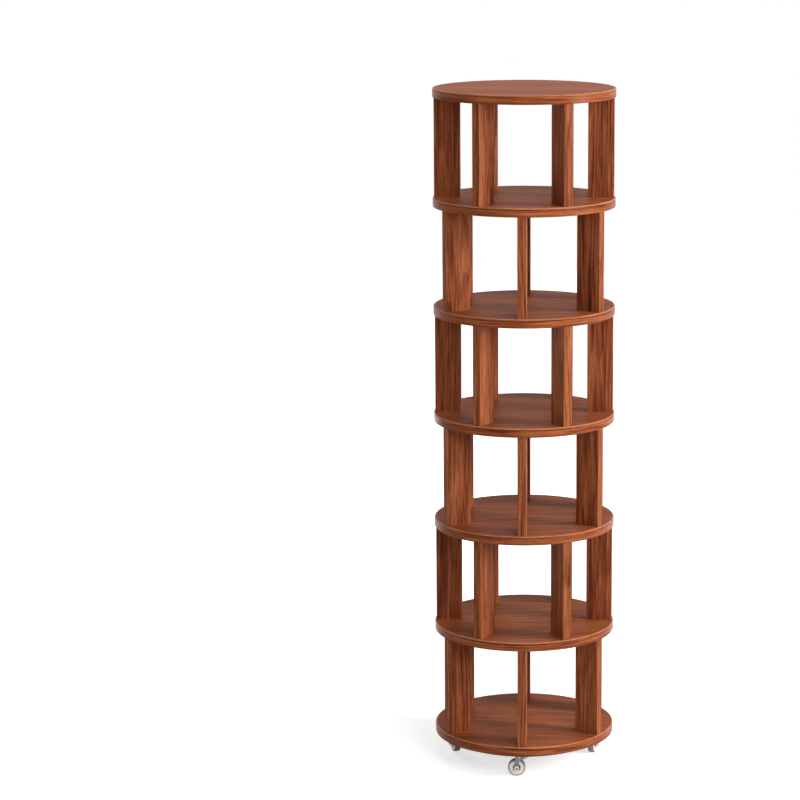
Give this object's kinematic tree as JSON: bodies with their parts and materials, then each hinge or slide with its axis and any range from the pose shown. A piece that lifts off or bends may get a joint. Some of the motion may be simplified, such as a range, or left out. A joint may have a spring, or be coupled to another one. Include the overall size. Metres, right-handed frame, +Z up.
{
  "type": "rotating bookshelf",
  "caption": "Tall round rotating bookshelf on casters: stacked round boards on staggered uprights, turning on a ball-bearing ring over a steel chassis.",
  "frame": {"origin": "on the floor, on the turning axis of the column", "axes": "+Z up along the turning axis, -Y towards the front, +X to the right as seen from the front"},
  "size_m": [0.5, 0.5, 1.887],
  "materials": {
    "walnut_boards": "satin lacquer",
    "walnut_uprights": "satin lacquer",
    "beech_dowels": "fluted, raw",
    "zinc_screws": "zinc plated",
    "ring_aluminium": "turned",
    "ball_steel": "polished",
    "chassis_paint": "black powder coat",
    "caster_zinc": "bright zinc plated",
    "caster_wheels": "clear grey tyre on a dark hub"
  },
  "bodies": {
    "base": {"chassis": "chassis_paint", "chassis_bolts": "zinc_screws", "caster_plates": "caster_zinc", "inner_ring": "ring_aluminium", "turntable_balls": "ball_steel"},
    "column": {"bottom_board": "walnut_boards", "shelf_board_1": "walnut_boards", "shelf_board_2": "walnut_boards", "shelf_board_3": "walnut_boards", "shelf_board_4": "walnut_boards", "shelf_board_5": "walnut_boards", "top_board": "walnut_boards", "tier_1_upright_1": "walnut_uprights", "tier_1_upright_2": "walnut_uprights", "tier_1_upright_3": "walnut_uprights", "tier_1_upright_4": "walnut_uprights", "tier_1_upright_5": "walnut_uprights", "tier_1_upright_6": "walnut_uprights", "tier_2_upright_1": "walnut_uprights", "tier_2_upright_2": "walnut_uprights", "tier_2_upright_3": "walnut_uprights", "tier_2_upright_4": "walnut_uprights", "tier_2_upright_5": "walnut_uprights", "tier_2_upright_6": "walnut_uprights", "tier_3_upright_1": "walnut_uprights", "tier_3_upright_2": "walnut_uprights", "tier_3_upright_3": "walnut_uprights", "tier_3_upright_4": "walnut_uprights", "tier_3_upright_5": "walnut_uprights", "tier_3_upright_6": "walnut_uprights", "tier_4_upright_1": "walnut_uprights", "tier_4_upright_2": "walnut_uprights", "tier_4_upright_3": "walnut_uprights", "tier_4_upright_4": "walnut_uprights", "tier_4_upright_5": "walnut_uprights", "tier_4_upright_6": "walnut_uprights", "tier_5_upright_1": "walnut_uprights", "tier_5_upright_2": "walnut_uprights", "tier_5_upright_3": "walnut_uprights", "tier_5_upright_4": "walnut_uprights", "tier_5_upright_5": "walnut_uprights", "tier_5_upright_6": "walnut_uprights", "tier_6_upright_1": "walnut_uprights", "tier_6_upright_2": "walnut_uprights", "tier_6_upright_3": "walnut_uprights", "tier_6_upright_4": "walnut_uprights", "tier_6_upright_5": "walnut_uprights", "tier_6_upright_6": "walnut_uprights", "upright_screws": "zinc_screws", "upright_dowels": "beech_dowels", "outer_ring": "ring_aluminium", "outer_ring_screws": "zinc_screws"},
    "caster_1_swivel": {"caster_1_fork": "caster_zinc"},
    "caster_1_roller": {"caster_1_wheel": "caster_wheels"},
    "caster_2_swivel": {"caster_2_fork": "caster_zinc"},
    "caster_2_roller": {"caster_2_wheel": "caster_wheels"},
    "caster_3_swivel": {"caster_3_fork": "caster_zinc"},
    "caster_3_roller": {"caster_3_wheel": "caster_wheels"},
    "caster_4_swivel": {"caster_4_fork": "caster_zinc"},
    "caster_4_roller": {"caster_4_wheel": "caster_wheels"}
  },
  "joints": [
    {"name": "column_turn", "type": "hinge", "parent": "base", "child": "column", "pos_m": [0, 0, 0.07], "axis": [0, 0, 1], "continuous": true},
    {"name": "caster_1_swivel_turn", "type": "hinge", "parent": "base", "child": "caster_1_swivel", "pos_m": [0, -0.19, 0.055], "axis": [0, 0, 1], "continuous": true},
    {"name": "caster_1_wheel_roll", "type": "hinge", "parent": "caster_1_swivel", "child": "caster_1_roller", "pos_m": [-0.016, -0.19, 0.024], "axis": [0, -1, 0], "continuous": true},
    {"name": "caster_2_swivel_turn", "type": "hinge", "parent": "base", "child": "caster_2_swivel", "pos_m": [0.19, 0, 0.055], "axis": [0, 0, 1], "continuous": true},
    {"name": "caster_2_wheel_roll", "type": "hinge", "parent": "caster_2_swivel", "child": "caster_2_roller", "pos_m": [0.19414, 0.01545, 0.024], "axis": [-0.9659, 0.2588, 0], "continuous": true},
    {"name": "caster_3_swivel_turn", "type": "hinge", "parent": "base", "child": "caster_3_swivel", "pos_m": [0, 0.19, 0.055], "axis": [0, 0, 1], "continuous": true},
    {"name": "caster_3_wheel_roll", "type": "hinge", "parent": "caster_3_swivel", "child": "caster_3_roller", "pos_m": [0.01226, 0.17972, 0.024], "axis": [0.6428, 0.766, 0], "continuous": true},
    {"name": "caster_4_swivel_turn", "type": "hinge", "parent": "base", "child": "caster_4_swivel", "pos_m": [-0.19, 0, 0.055], "axis": [0, 0, 1], "continuous": true},
    {"name": "caster_4_wheel_roll", "type": "hinge", "parent": "caster_4_swivel", "child": "caster_4_roller", "pos_m": [-0.19547, 0.01504, 0.024], "axis": [-0.9397, -0.342, 0], "continuous": true}
  ]
}
